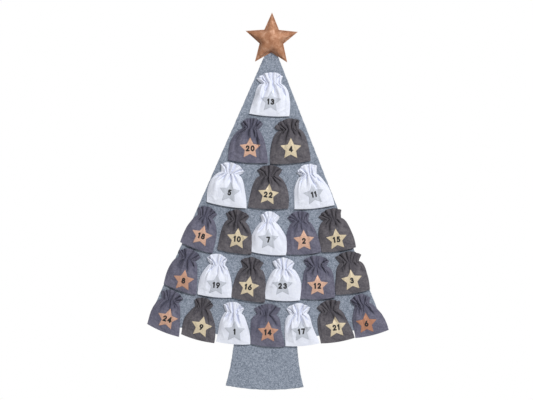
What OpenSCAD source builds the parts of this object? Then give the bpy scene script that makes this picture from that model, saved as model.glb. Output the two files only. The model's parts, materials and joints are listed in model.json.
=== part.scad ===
// Felt advent calendar: a felt tree with a padded star and 24 gathered bags.
// Millimetres. +Z is up, the front looks along -Y and the back lies in the plane y = 0.
// The origin is the centre of the hanging eyelet, at the tip of the tree.

/* [Felt tree] */
// Thickness of the felt
felt_t = 3; // [2:0.5:5]
// Angle between each sloping side and the upright
side_angle = 22.6; // [20:0.1:26]
// Felt left around the hanging eyelet
head_rim = 13; // [8:1:18]
// How far the lowest hems hang below the felt's own hem
hem_tuck = 24; // [10:1:40]
// Width of the trunk where it leaves the tree
trunk_w = 169; // [130:1:200]
// Width of the trunk's foot
foot_w = 206; // [180:1:240]
// Height of the trunk from the lowest hem to the foot's corners
trunk_h = 103; // [70:1:140]
// Radius of the trunk's hollow sides
flare_r = 530; // [300:5:900]
// Bow of the foot's lower edge
foot_bow = 9; // [4:1:16]

/* [Hanging eyelet] */
// Radius of the eyelet's bore
eyelet_bore_r = 4; // [3:0.5:5]
// Wall of the eyelet
eyelet_wall = 2; // [1:0.25:3]
// Gap between the eyelet and the hole in the felt
eyelet_gap = 0.05; // [0.02:0.01:0.1]

/* [Top star] */
// Radius of the star at its tips
star_r = 72.5; // [60:0.5:85]
// Radius of the star at its notches
star_notch_r = 33; // [29:0.5:38]
// Thickness of the star's two panels
star_panel_t = 1; // [0.6:0.1:1.5]
// Width of the flat sewn edge
star_edge = 4; // [2:0.5:6]
// Height of the stuffed dome above the sewn edge
star_dome = 22; // [14:1:28]
// Gap between the filling and the panels
filling_gap = 0.3; // [0.2:0.05:0.6]

/* [Bags] */
// Width of a bag that has room beside it
bag_w = 104; // [92:1:110]
// Height of a bag from its hem to its top
bag_h = 113; // [106:1:122]
// How far a filled bag stands off the felt
bag_d = 20; // [15:0.5:25]
// Depth of a bag's hem
hem_d = 6; // [4:0.5:8]
// Width of the gathered neck
neck_w = 46; // [38:1:54]
// Depth of the gathered neck
neck_d = 10; // [8:0.5:13]
// Width of the ruffle's top edge
ruffle_w = 62; // [54:1:70]
// Depth of the ruffle's top edge
ruffle_d = 12; // [10:0.5:14]
// Height of the ruffle above the neck
ruffle_h = 28; // [22:1:34]
// Depth of the pleats in the ruffle
pleat_d = 2; // [0:0.25:3]
// How much lower the ruffle's front edge is than its back
ruffle_drop = 4; // [2:0.5:6]
// Gap between a bag's back and the felt
bag_back_gap = 0.5; // [0.4:0.05:1]

/* [Rows] */
// Gap between the star's lower tips and the first bag
star_gap = 29; // [15:1:45]
// Gap between a row's tops and the hems above
row_gap = 9; // [7:0.5:14]
// Gap between neighbours that have room
bag_gap = 12; // [8:1:18]
// Gap between neighbours in a crowded row
tight_gap = 4; // [4:0.25:6]
// How much the lowest row's ends rise above its middle
row_bow = 35; // [20:1:45]

/* [Tack threads] */
// Radius of the tack thread
thread_r = 1; // [0.8:0.1:1.2]
// Distance between a tack's two legs
tack_w = 20; // [16:1:26]
// Gap between the thread and the loop of cloth that it holds
thread_gap = 0.08; // [0.05:0.01:0.1]
// Cloth around the thread
loop_wall = 1.2; // [1:0.1:1.6]
// Gap between the cloth and a tack's legs
leg_gap = 0.5; // [0.4:0.1:0.8]

/* [Number stars] */
// Radius of a number star at its tips
patch_r = 29; // [25:0.5:31]
// Radius of a number star at its notches
patch_notch_r = 14.5; // [12:0.5:17]
// Thickness of a number star
patch_t = 0.6; // [0.4:0.1:1]
// Gap between a bag's hem and the lower tips of its number star
patch_hem_gap = 11.5; // [10:0.5:14]

/* [Hidden] */
// Each row from left to right: day number, cloth, and lean to the right in degrees
ROWS = [
    [[13, "white", 2.5]],
    [[20, "plum", 4], [4, "slate", -4]],
    [[5, "white", 9], [22, "slate", 0.5], [11, "white", -7]],
    [[18, "plum", 13], [10, "slate", 7], [7, "white", 1.5], [2, "plum", -4], [15, "slate", -9.5]],
    [[8, "plum", 12.5], [19, "white", 6.5], [16, "slate", 4], [23, "white", 0],
        [12, "plum", -4], [3, "slate", -9]],
    [[24, "plum", 16], [9, "slate", 11], [1, "white", 5.5], [14, "plum", 0.5], [17, "white", -5],
        [21, "slate", -10.5], [6, "plum", -15]]
];
row_count = len(ROWS);
bag_count = 24;
// Steps of a small circle
$fn = 48;
felt_colour = "#8a95a6";
copper_colour = "#b27f61";
brass_colour = "#c9a94f";
fibre_colour = "#f2f0ea";
thread_colour = "#4a4a52";
CLOTH_COLOURS = [["white", "#dfe3f2"], ["plum", "#67657a"], ["slate", "#57545c"]];
GLITTER_COLOURS = [["white", "#bfc3cc"], ["plum", "#c8926f"], ["slate", "#d3c29a"]];

// Rows: hems hang on shallow bows, and a crowded row fills the felt's width
star_foot = star_r * cos(36);
first_top = star_foot + star_gap;
row_pitch = bag_h + row_gap;
function row_hem(r) = -(first_top + bag_h + r * row_pitch);
function row_rise(r) = row_bow * pow(r / (row_count - 1), 2);
function felt_w(r) = 2 * tan(side_angle) * -(row_hem(r) + row_rise(r));
function row_step(r) = min(bag_w + bag_gap, felt_w(r) / len(ROWS[r]));
function row_bag_w(r) = min(bag_w, row_step(r) - tight_gap);
function row_reach(r) = row_step(r) * (len(ROWS[r]) - 1) / 2;
function bag_x(r, k) = k * row_step(r) - row_reach(r);
function bag_z(r, k) = row_hem(r) + row_rise(r) * pow(bag_x(r, k) / max(row_reach(r), 1), 2);
function row_days(r) = [for (entry = ROWS[r]) entry[0]];
function bag_row(day) = [for (r = [0:row_count - 1]) if (len(search(day, row_days(r))) > 0) r][0];
function bag_place(day) = search(day, row_days(bag_row(day)))[0];
function bag_cloth(day) = ROWS[bag_row(day)][bag_place(day)][1];
function bag_lean(day) = ROWS[bag_row(day)][bag_place(day)][2];
function pick(table, name) = [for (entry = table) if (entry[0] == name) entry[1]][0];

// The tack: a thread bar that runs through a loop of cloth at the back of the bag's rim
loop_bore_r = thread_r + thread_gap;
loop_r = loop_bore_r + loop_wall;
loop_half = tack_w / 2 - thread_r - leg_gap;
hinge_d = bag_back_gap + loop_r;
hinge_v = bag_h - loop_r;

// Heights on a bag above its hem
neck_v = bag_h - ruffle_h;
patch_v = patch_hem_gap + patch_r * cos(36);
patch_top = patch_v + patch_r;
patch_margin = 0.5;
plateau = patch_r * cos(18) + patch_margin;

// Names of the nodes
function two_digits(day) = day < 10 ? str("0", day) : str(day);
function bag_name(day) = str("bag_", two_digits(day));
function number_star_name(day) = str("number_star_", two_digits(day));
DAYS = [for (day = [1:bag_count]) day];

// Felt outline below the tip: hem on the bow of the lowest row, trunk with hollow sides
last_row = row_count - 1;
arc_steps = 360;
eyelet_r = eyelet_bore_r + eyelet_wall;
head_r = eyelet_r + head_rim;
hem_low = row_hem(last_row) + hem_tuck;
hem_r = (pow(row_reach(last_row), 2) + pow(row_bow, 2)) / (2 * row_bow);
cone_half = -row_hem(last_row) * tan(side_angle);
trunk_top = row_hem(last_row);
foot_z = trunk_top - trunk_h;
foot_r = (pow(foot_w / 2, 2) + pow(foot_bow, 2)) / (2 * foot_bow);
flare_chord = [(foot_w - trunk_w) / 2, -trunk_h];
flare_normal = [trunk_h, (foot_w - trunk_w) / 2] / norm(flare_chord);
flare_mid = [(foot_w + trunk_w) / 4, trunk_top - trunk_h / 2];
flare_centre = flare_mid + flare_normal * sqrt(pow(flare_r, 2) - pow(norm(flare_chord) / 2, 2));

// Top star: distance from its centre to its edges, and the shape of its dome
star_side = [star_notch_r * sin(36), star_notch_r * cos(36) - star_r];
star_edge_r = star_r * star_side[0] / norm(star_side);
dome_spare = 2.5 * star_panel_t;
crown_power = 2.4;
side_power = 0.55;
DOME_STEPS = [0, 0.06, 0.18, 0.38, 0.62, 1];

// Bag: how its outline turns in at the shoulders and how its sections are rounded
shoulder_power = 2.2;
turn_power = 0.58;
shoulder_v = (patch_top + neck_v) / 2;
belly_share = 0.65;
flat_share = 0.66;
seam_share = 0.35;
back_inset = 3;
SIDE_ANGLES = [0, 30, 60, 90];
leg_share = 0.9;

// Corners of a five-pointed star with one tip up, going round to the left
function star_points(tip_r, notch_r) = [
    for (i = [0:9]) let (r = i % 2 == 0 ? tip_r : notch_r) [-r * sin(36 * i), r * cos(36 * i)]
];

// Closed solid over rings of equally many points, each end closed round a centre point
function column_sum(ring, c, i = 0) = i == len(ring) ? 0 : ring[i][c] + column_sum(ring, c, i + 1);
function ring_centre(ring) = [for (c = [0:2]) column_sum(ring, c) / len(ring)];
module loft(rings) {
    n = len(rings[0]);
    last = len(rings) - 1;
    centre = n * len(rings);
    points = concat([for (ring = rings) each ring], [ring_centre(rings[0]), ring_centre(rings[last])]);
    sides = [
        for (k = [0:last - 1]) for (i = [0:n - 1])
            let (a = k * n + i, b = k * n + (i + 1) % n)
                each [[a, a + n, b], [b, a + n, b + n]]
    ];
    ends = [
        for (i = [0:n - 1])
            let (j = (i + 1) % n)
                each [[i, j, centre], [last * n + j, last * n + i, centre + 1]]
    ];
    polyhedron(points, concat(sides, ends));
}

// Turns a shape drawn in the XY plane to stand upright, with its +Z to the front
module stand() {
    rotate([90, 0, 0]) children();
}

// Felt tree: one cut of felt, a cone with a bowed hem, a round head and a flared trunk
module cone_outline() {
    intersection() {
        polygon([[0, 0], [-cone_half, row_hem(last_row)], [cone_half, row_hem(last_row)]]);
        translate([0, hem_low + hem_r]) circle(r = hem_r, $fn = arc_steps);
    }
}

module trunk_outline() {
    intersection() {
        difference() {
            polygon([
                [-trunk_w / 2, hem_low + hem_tuck], [-trunk_w / 2, trunk_top],
                [-foot_w / 2, foot_z], [-foot_w / 2, foot_z - foot_bow],
                [foot_w / 2, foot_z - foot_bow], [foot_w / 2, foot_z],
                [trunk_w / 2, trunk_top], [trunk_w / 2, hem_low + hem_tuck]
            ]);
            for (side = [-1, 1])
                translate([side * flare_centre[0], flare_centre[1]]) circle(r = flare_r, $fn = arc_steps);
        }
        translate([0, foot_z - foot_bow + foot_r]) circle(r = foot_r, $fn = arc_steps);
    }
}

module felt_tree() {
    color(felt_colour)
        stand() linear_extrude(felt_t) difference() {
            union() {
                cone_outline();
                circle(r = head_r);
                trunk_outline();
            }
            circle(r = eyelet_r + eyelet_gap);
        }
}

// Hanging eyelet: a brass ring, flush with both faces of the felt
module hang_eyelet() {
    color(brass_colour)
        stand() linear_extrude(felt_t) difference() {
            circle(r = eyelet_r);
            circle(r = eyelet_bore_r);
        }
}

// Top star: a flat back and a domed front, sewn edge to edge round a wad of fibre
function star_ring(inset, z) =
    [for (p = star_points(star_r, star_notch_r) * (1 - inset / star_edge_r)) [p[0], p[1], z]];
function dome_inset(t) = star_edge + t * (star_edge_r - star_edge - dome_spare);
function dome_z(t) = star_dome * pow(1 - pow(1 - t, crown_power), side_power);

module star_back() {
    color(copper_colour)
        translate([0, -felt_t, 0]) stand() linear_extrude(star_panel_t)
            polygon(star_points(star_r, star_notch_r));
}

module star_front() {
    inside = [
        for (i = [len(DOME_STEPS) - 1:-1:0])
            star_ring(dome_inset(DOME_STEPS[i]) + star_panel_t, dome_z(DOME_STEPS[i]))
    ];
    edge = [star_ring(0, 0), star_ring(0, star_panel_t)];
    outside = [for (t = DOME_STEPS) star_ring(dome_inset(t), star_panel_t + dome_z(t))];
    color(copper_colour)
        translate([0, -felt_t - star_panel_t, 0]) stand() loft(concat(inside, edge, outside));
}

module star_filling() {
    steps = [for (t = DOME_STEPS) if (t > 0) t];
    margin = star_panel_t + filling_gap;
    base = star_ring(dome_inset(steps[0]) + margin, filling_gap);
    crown = [for (t = steps) star_ring(dome_inset(t) + margin, dome_z(t) - filling_gap)];
    color(fibre_colour)
        translate([0, -felt_t - star_panel_t, 0]) stand() loft(concat([base], crown));
}

// Bags: a gathered cotton bag, drawn shut at its neck, with a pleated ruffle above it
function body_half(w, v) =
    (neck_w + (w - neck_w) * pow(1 - pow(v / neck_v, shoulder_power), turn_power)) / 2;
function bag_ring(v, half_w, depth, pleat = 0, drop = 0) =
    let (
        flat = min(plateau, half_w * flat_share),
        side_d = bag_back_gap + (depth - bag_back_gap) * seam_share,
        left = [for (a = SIDE_ANGLES) [-flat - (half_w - flat) * cos(a), side_d + (depth - side_d) * sin(a)]],
        right = [for (i = [len(left) - 1:-1:0]) [-left[i][0], left[i][1]]],
        front = concat(left, [[-flat / 3, depth], [flat / 3, depth]], right),
        back_half = half_w - back_inset,
        last = len(front) - 1
    )
    concat(
        [
            for (i = [0:last])
                let (d = front[i][1] + (i == 0 || i == last ? 0 : pleat * (i % 2 == 0 ? 1 : -1)))
                    [front[i][0], -d, v - drop * (d - bag_back_gap) / depth]
        ],
        [[back_half, -bag_back_gap, v], [-back_half, -bag_back_gap, v]]
    );
function bag_rings(w) = [
    bag_ring(0, w / 2, hem_d),
    bag_ring(patch_hem_gap / 2, body_half(w, patch_hem_gap / 2), hem_d + (bag_d - hem_d) * belly_share),
    for (v = [patch_hem_gap, patch_v, patch_top + patch_margin]) bag_ring(v, body_half(w, v), bag_d),
    bag_ring(shoulder_v, body_half(w, shoulder_v), (bag_d + neck_d) / 2),
    bag_ring(neck_v, neck_w / 2, neck_d, pleat_d / 2),
    bag_ring(neck_v + ruffle_h / 3, (neck_w * 2 + ruffle_w) / 6, neck_d, pleat_d),
    bag_ring(hinge_v, ruffle_w / 2, ruffle_d, pleat_d, ruffle_drop)
];

module at_bag(day) {
    translate([bag_x(bag_row(day), bag_place(day)), -felt_t, bag_z(bag_row(day), bag_place(day))])
        rotate([0, bag_lean(day), 0]) children();
}

module along_hinge(r, length) {
    translate([0, -hinge_d, hinge_v]) rotate([0, 90, 0]) cylinder(r = r, h = length, center = true);
}

module leg_slots() {
    half = thread_r + leg_gap;
    for (side = [-1, 1])
        translate([side * tack_w / 2 - half, -hinge_d - half, hinge_v - half])
            cube([2 * half, hinge_d + half + felt_t, bag_h]);
}

module bag(day) {
    color(pick(CLOTH_COLOURS, bag_cloth(day)))
        at_bag(day) difference() {
            union() {
                loft(bag_rings(row_bag_w(bag_row(day))));
                along_hinge(loop_r, 2 * loop_half);
            }
            along_hinge(loop_bore_r, tack_w + 2 * (thread_r + leg_gap));
            leg_slots();
        }
}

// Tack threads: for each bag a bar of thread with two legs sewn down to the felt
module tack_threads() {
    color(thread_colour)
        for (day = DAYS) at_bag(day) {
            along_hinge(thread_r, tack_w + 2 * thread_r);
            for (side = [-1, 1])
                translate([side * tack_w / 2, 0, hinge_v])
                    stand() cylinder(r = thread_r * leg_share, h = hinge_d);
        }
}

// Number stars: thin glitter appliques, flat on the front of each bag
module number_star(day) {
    color(pick(GLITTER_COLOURS, bag_cloth(day)))
        at_bag(day) translate([0, -bag_d, patch_v])
            stand() linear_extrude(patch_t) polygon(star_points(patch_r, patch_notch_r));
}

felt_tree();
hang_eyelet();
star_back();
star_front();
star_filling();
tack_threads();
for (day = DAYS) {
    bag(day);
    number_star(day);
}
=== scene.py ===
import json
import math

import bmesh
import bpy
import numpy as np
from mathutils import Matrix, Vector
from mathutils.bvhtree import BVHTree


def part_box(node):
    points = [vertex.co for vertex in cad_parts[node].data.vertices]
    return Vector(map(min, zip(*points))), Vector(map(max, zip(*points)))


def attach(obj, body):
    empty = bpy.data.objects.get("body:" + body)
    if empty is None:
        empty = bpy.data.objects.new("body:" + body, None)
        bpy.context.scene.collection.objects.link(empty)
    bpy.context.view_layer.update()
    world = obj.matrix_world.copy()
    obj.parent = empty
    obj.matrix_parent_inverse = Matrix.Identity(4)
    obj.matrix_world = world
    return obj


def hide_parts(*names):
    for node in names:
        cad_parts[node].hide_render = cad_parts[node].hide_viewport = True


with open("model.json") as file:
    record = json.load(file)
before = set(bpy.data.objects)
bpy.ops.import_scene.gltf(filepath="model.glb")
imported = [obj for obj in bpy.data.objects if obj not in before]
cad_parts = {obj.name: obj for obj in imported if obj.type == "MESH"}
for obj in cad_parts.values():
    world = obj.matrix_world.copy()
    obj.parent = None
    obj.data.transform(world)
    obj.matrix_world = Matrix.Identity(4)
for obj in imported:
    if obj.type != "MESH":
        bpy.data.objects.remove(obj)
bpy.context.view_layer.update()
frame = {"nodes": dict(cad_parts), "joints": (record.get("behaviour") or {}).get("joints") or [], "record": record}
scene = bpy.context.scene
scene.view_settings.view_transform = "Standard"

# The studio: the calendar hangs free in front of white, high above a pale round floor.
# A soft lamp stands in front of it, up to the right, and a long lens looks straight at the felt,
# held a little over one degree out of level.
LENS_DISTANCE, SENSOR_WIDTH = 5.0, 36
FIELD_WIDTH = 1.407
SIGHT_X, SIGHT_Z = -0.0047, -0.4226
CAMERA_ROLL = math.radians(1.15)
FLOOR_Z, FLOOR_R, FLOOR_SIDES = -1.2, 2.2, 96
FLOOR_WHITE = (0.86, 0.86, 0.86, 1)
SKY_LEVEL = 0.33
KEY_POWER, KEY_SIZE, KEY_PLACE = 199, 0.8, Vector((1.9, -3.9, 2.6))

camera = bpy.data.objects.new("camera", bpy.data.cameras.new("camera"))
camera.data.sensor_width = SENSOR_WIDTH
camera.data.lens = SENSOR_WIDTH * LENS_DISTANCE / FIELD_WIDTH
camera.matrix_world = (
    Matrix.Translation((SIGHT_X, -LENS_DISTANCE, SIGHT_Z))
    @ Matrix.Rotation(math.pi / 2, 4, "X")
    @ Matrix.Rotation(CAMERA_ROLL, 4, "Z")
)
scene.collection.objects.link(camera)
scene.camera = camera

key = bpy.data.objects.new("key_lamp", bpy.data.lights.new("key_lamp", "AREA"))
key.data.energy = KEY_POWER
key.data.size = KEY_SIZE
key.location = KEY_PLACE
key.rotation_euler = (Vector((0, 0, SIGHT_Z)) - KEY_PLACE).to_track_quat("-Z", "Y").to_euler()
scene.collection.objects.link(key)


def wire(tree, node, *links):
    """Joins nodes, or certain outputs, to a node's inputs and sets plain values there."""
    for socket, source in links:
        if isinstance(source, bpy.types.Node):
            source = source.outputs[0]
        if isinstance(source, bpy.types.NodeSocket):
            tree.links.new(source, node.inputs[socket])
        else:
            node.inputs[socket].default_value = source


def add_node(tree, kind, *links, **values):
    """Adds a node, sets its properties and wires its inputs."""
    made = tree.nodes.new(kind)
    for name, value in values.items():
        setattr(made, name, value)
    wire(tree, made, *links)
    return made


def maths(tree, operation, *terms):
    """The result of a sum, a product or the like."""
    return add_node(tree, "ShaderNodeMath", *enumerate(terms), operation=operation)


def blended(tree, share, low, high):
    """A value between low and high."""
    return add_node(tree, "ShaderNodeMix", ("Factor", share), (2, low), (3, high))


def new_material(name, *settings):
    """A material with its nodes and its Principled shader, some of whose inputs are set."""
    made = bpy.data.materials.new(name)
    made.use_nodes = True
    shader = made.node_tree.nodes["Principled BSDF"]
    wire(made.node_tree, shader, *settings)
    return made, made.node_tree, shader


def taken(shape, name):
    """A finished edit mesh as a mesh of its own."""
    made = bpy.data.meshes.new(name)
    shape.to_mesh(made)
    shape.free()
    return made


scene.world = bpy.data.worlds.new("studio")
scene.world.use_nodes = True
sky = scene.world.node_tree
sky.nodes.clear()
path = add_node(sky, "ShaderNodeLightPath").outputs
seen = maths(sky, "MAXIMUM", path["Is Camera Ray"], path["Is Glossy Ray"])
seen = maths(sky, "MAXIMUM", seen, path["Is Transmission Ray"])
level = blended(sky, seen, SKY_LEVEL, 1.0)
white = add_node(sky, "ShaderNodeBackground", ("Color", (1, 1, 1, 1)), ("Strength", level))
add_node(sky, "ShaderNodeOutputWorld", ("Surface", white))

disc = bmesh.new()
bmesh.ops.create_circle(disc, cap_ends=True, segments=FLOOR_SIDES, radius=FLOOR_R)
floor = bpy.data.objects.new("floor", taken(disc, "floor"))
floor.data.transform(Matrix.Translation((0, 0, FLOOR_Z)))
floor.data.materials.append(new_material("floor paper", ("Base Color", FLOOR_WHITE), ("Roughness", 0.9))[0])
scene.collection.objects.link(floor)

# The felt tree: one cut of thick grey wool felt, a cone with a bowed hem and a flared trunk.
# It hangs from its tip, so it is not quite flat, and its cut edges are soft and a little uneven.
# Its wool is a mottle of tufts, clumps and crossing fibres.
FELT_THICK, FELT_EDGE = 0.003, 0.0008
FELT_GRID, FELT_MERGE, FELT_WELD = 0.006, 0.0007, 1e-6
FELT_SWELL, FELT_HEAD, SWELL_WAVES = 0.0002, 0.2, ((31, 9, 0), (-5, 17, 1.3))
TRUNK_CURL, CURL_TOP, CURL_TALL = 0.007, -0.83, 0.09
EDGE_WOBBLE = 0.00035
FELT_DARK = (0.125, 0.152, 0.197, 1)
FELT_MID = (0.262, 0.303, 0.375, 1)
FELT_PALE = (0.42, 0.465, 0.55, 1)
FIBRE_TURNS, FIBRE_GRAIN = (0.2, 1.25, 2.3), (1 / 240, 1 / 420, 1 / 1400)
# Each mottle: scale, detail, roughness and distortion
FIBRES, TUFTS, CLUMPS = (1.0, 2.0, 0.6, 1.2), (420.0, 3.0, 0.7, 0.4), (230.0, 5.0, 0.7, 1.4)
FIBRE_LEVEL = 0.09


def own_place(tree):
    """Places on the object itself, for a pattern to follow."""
    return add_node(tree, "ShaderNodeTexCoord").outputs["Object"]


def noise(tree, place, scale, detail, rough=0.5, warp=0.0):
    """A random mottle."""
    return add_node(tree, "ShaderNodeTexNoise", ("Vector", place), ("Scale", scale), ("Detail", detail),
                    ("Roughness", rough), ("Distortion", warp))


def toned(tree, value, first, middle, last):
    """A colour that runs through three stops, each a position and a colour."""
    made = add_node(tree, "ShaderNodeValToRGB", ("Fac", value))
    for stop, (position, colour) in zip(made.color_ramp.elements, (first, last)):
        stop.position = position
        stop.color = colour
    made.color_ramp.elements.new(middle[0]).color = middle[1]
    return made


def bumped(tree, strength, deep, height, *under):
    """A surface roughened by a height."""
    return add_node(tree, "ShaderNodeBump", ("Strength", strength), ("Distance", deep), ("Height", height),
                    *under)


felt_stuff, nodes, shader = new_material("grey wool felt", ("Roughness", 0.95), ("Sheen Weight", 0.25),
                                         ("Sheen Roughness", 0.6), ("Specular IOR Level", 0.15))
place = own_place(nodes)
strands = None
for turn in FIBRE_TURNS:
    laid = add_node(nodes, "ShaderNodeMapping", ("Vector", place), ("Rotation", (0, turn, 0)),
                    ("Scale", FIBRE_GRAIN), vector_type="TEXTURE")
    fibre = noise(nodes, laid, *FIBRES)
    strands = fibre if strands is None else maths(nodes, "MAXIMUM", strands, fibre)
hairs = maths(nodes, "SUBTRACT", strands, FIBRE_LEVEL)
mottled = blended(nodes, 0.5, noise(nodes, place, *TUFTS), hairs)
mottled = blended(nodes, 0.5, mottled, noise(nodes, place, *CLUMPS))
wool = toned(nodes, mottled, (0.43, FELT_DARK), (0.5, FELT_MID), (0.575, FELT_PALE))
wire(nodes, shader, ("Base Color", wool), ("Normal", bumped(nodes, 0.5, 0.0006, hairs)))

cut = bmesh.new()
cut.from_mesh(frame["nodes"]["felt_tree"].data)
bmesh.ops.remove_doubles(cut, verts=cut.verts, dist=FELT_WELD)
cut.normal_update()
bmesh.ops.delete(cut, geom=[f for f in cut.faces if f.normal.y > -0.9], context="FACES")
bmesh.ops.dissolve_limit(cut, angle_limit=0.01, verts=cut.verts, edges=cut.edges)
felt_low, felt_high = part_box("felt_tree")
for axis in (0, 2):
    normal = Vector((0, 0, 0))
    normal[axis] = 1
    lines = np.arange(math.ceil(felt_low[axis] / FELT_GRID), felt_high[axis] / FELT_GRID) * FELT_GRID
    for line in lines:
        bmesh.ops.bisect_plane(cut, geom=cut.verts[:] + cut.edges[:] + cut.faces[:], dist=FELT_WELD,
                               plane_co=normal * float(line), plane_no=normal)
bmesh.ops.remove_doubles(cut, verts=cut.verts, dist=FELT_MERGE)


def unevenness(at, fine, coarse):
    """How far a cut edge strays at a place along it."""
    return EDGE_WOBBLE * math.sin(fine * at + 3 * math.sin(coarse * at))


for v in cut.verts:
    x, z = v.co.x, v.co.z
    waves = math.prod(math.sin(a * x + b * z + c) for a, b, c in SWELL_WAVES)
    swell = FELT_SWELL * min(1.0, -z / FELT_HEAD) * (waves + 1)
    foot = max(0.0, (CURL_TOP - z) / CURL_TALL)
    curl = TRUNK_CURL * foot * foot * (1 + math.sin(9 * x + 0.6)) / 2
    if v.is_boundary:
        v.co.x += unevenness(z, 410, 97)
        v.co.z += unevenness(x, 370, 83)
    v.co.y -= swell + curl


def new_piece(name, mesh, *stuffs):
    """A finished piece at the origin, unturned, with its materials and smooth faces."""
    made = bpy.data.objects.new(name, mesh)
    scene.collection.objects.link(made)
    mesh.materials.clear()
    for stuff in stuffs:
        mesh.materials.append(stuff)
    mesh.polygons.foreach_set("use_smooth", [True] * len(mesh.polygons))
    return made


def applied(piece):
    """Turns a piece and its modifiers into a plain mesh."""
    bpy.context.view_layer.update()
    result = bpy.data.meshes.new_from_object(piece.evaluated_get(bpy.context.evaluated_depsgraph_get()))
    piece.modifiers.clear()
    old, piece.data = piece.data, result
    result.name = piece.name
    bpy.data.meshes.remove(old)
    return piece


def thickened(piece, thick):
    """Gives a sheet its thickness, behind the side that was made."""
    wall = piece.modifiers.new("thickness", "SOLIDIFY")
    wall.thickness = thick
    wall.offset = -1
    return wall


felt = new_piece("felt_tree_cut", taken(cut, "felt"), felt_stuff)
thickened(felt, FELT_THICK)
rounding = felt.modifiers.new("soft edge", "BEVEL")
rounding.width = FELT_EDGE
rounding.segments = 2
rounding.limit_method = "ANGLE"
rounding.angle_limit = math.radians(60)
applied(felt)
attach(felt, "tree")
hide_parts("felt_tree")

# The fuzz on the felt: loose wool fibres that stand out from its cut edges.
# They are scattered over the edge faces, each a thin bent hair of its own length.
FIBRE_LENGTH, FIBRE_LENGTHS = 0.0014, (0.3, 1.0)
FIBRE_R = 0.00005
FIBRES_PER_AREA = 520000
FIBRE_BEND, FIBRE_SPIN = (0.5, 0.2, 0.55), (0.9, 0.9, 3.1)
FIBRE_KNEE, FIBRE_TIP = (0.0003, 0.0001, 0), (0.0008, -0.0003, 0)


def node_tree(name, inputs, outputs=None):
    """A node group and its named inputs: one for a mesh, or one for a shader if it has outputs."""
    mesh = {} if outputs else {"Geometry": "Geometry"}
    tree = bpy.data.node_groups.new(name, "ShaderNodeTree" if outputs else "GeometryNodeTree")
    for way, sockets in (("INPUT", mesh | inputs), ("OUTPUT", outputs or mesh)):
        for socket, kind in sockets.items():
            tree.interface.new_socket(socket, in_out=way, socket_type="NodeSocket" + kind)
    return tree, add_node(tree, "NodeGroupInput").outputs


def close_tree(tree, shape, stuff):
    """Ends a geometry tree: real faces instead of instances, with their material."""
    real = add_node(tree, "GeometryNodeRealizeInstances", (0, shape))
    smooth = add_node(tree, "GeometryNodeSetShadeSmooth", (0, real))
    dressed = add_node(tree, "GeometryNodeSetMaterial", (0, smooth), ("Material", stuff))
    add_node(tree, "NodeGroupOutput", (0, dressed))


def grown(piece, tree, **values):
    """Runs a geometry tree on a piece, with its sizes, and keeps the result as a plain mesh."""
    grow = piece.modifiers.new(tree.name, "NODES")
    grow.node_group = tree
    for item in tree.interface.items_tree:
        if item.in_out == "INPUT" and item.name in values:
            grow[item.identifier] = values[item.name]
    return applied(piece)


tree, sizes = node_tree("felt fuzz", dict(Density="Float", Length="Float", Radius="Float", Stuff="Material"))
roots = add_node(tree, "GeometryNodeDistributePointsOnFaces", ("Mesh", sizes["Geometry"]),
                 ("Density", sizes["Density"]), ("Seed", 4))
reach = add_node(tree, "ShaderNodeCombineXYZ", ("Z", sizes["Length"]))
bend = add_node(tree, "ShaderNodeVectorMath", (0, reach), (1, FIBRE_BEND), operation="MULTIPLY")
knee = add_node(tree, "ShaderNodeVectorMath", (0, bend), (1, FIBRE_KNEE), operation="ADD")
tip = add_node(tree, "ShaderNodeVectorMath", (0, reach), (1, FIBRE_TIP), operation="ADD")
hair = add_node(tree, "GeometryNodeCurveQuadraticBezier", ("Resolution", 3), ("Start", (0, 0, 0)),
                ("Middle", knee), ("End", tip))
ring = add_node(tree, "GeometryNodeCurvePrimitiveCircle", ("Resolution", 3), ("Radius", sizes["Radius"]))
strand = add_node(tree, "GeometryNodeCurveToMesh", ("Curve", hair), ("Profile Curve", ring))
spin = add_node(tree, "FunctionNodeRandomValue", (0, [-turn for turn in FIBRE_SPIN]), (1, FIBRE_SPIN),
                ("Seed", 9), data_type="FLOAT_VECTOR")
turned = add_node(tree, "FunctionNodeRotateRotation", ("Rotation", roots.outputs["Rotation"]),
                  ("Rotate By", spin), rotation_space="LOCAL")
grade = add_node(tree, "FunctionNodeRandomValue", (2, FIBRE_LENGTHS[0]), (3, FIBRE_LENGTHS[1]), ("Seed", 12))
fuzz_hairs = add_node(tree, "GeometryNodeInstanceOnPoints", ("Points", roots.outputs["Points"]),
                      ("Instance", strand), ("Rotation", turned), ("Scale", grade.outputs[1]))
close_tree(tree, fuzz_hairs, sizes["Stuff"])

rim = bmesh.new()
rim.from_mesh(felt.data)
rim.normal_update()
bmesh.ops.delete(rim, geom=[f for f in rim.faces if abs(f.normal.y) > 0.5], context="FACES")
fuzz = new_piece("felt_edge_fuzz", taken(rim, "felt rim"), felt_stuff)
grown(fuzz, tree, Density=FIBRES_PER_AREA, Length=FIBRE_LENGTH, Radius=FIBRE_R, Stuff=felt_stuff)
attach(fuzz, "tree")

# The hanging eyelet: a turned brass ring pressed into the felt's head, behind the star.
# Its bore takes a nail, and its back lip is rolled over the felt.
BORE_R, EYELET_R, LIP_R, LIP_PROUD = 0.004, 0.006, 0.0088, 0.0005
EYELET_STEPS = 64
BRASS, BRASS_DARK = (0.66, 0.46, 0.17, 1), (0.42, 0.27, 0.09, 1)


def tinted(tree, share, low, high):
    """A colour between two others."""
    made = add_node(tree, "ShaderNodeMix", ("Factor", share), (6, low), (7, high), data_type="RGBA")
    return made.outputs[2]


def ranged(tree, value, start, end, low=0.0, high=1.0):
    """A value carried from the range of start and end to that of low and high."""
    return add_node(tree, "ShaderNodeMapRange", ("Value", value), (1, start), (2, end), (3, low), (4, high))


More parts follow.
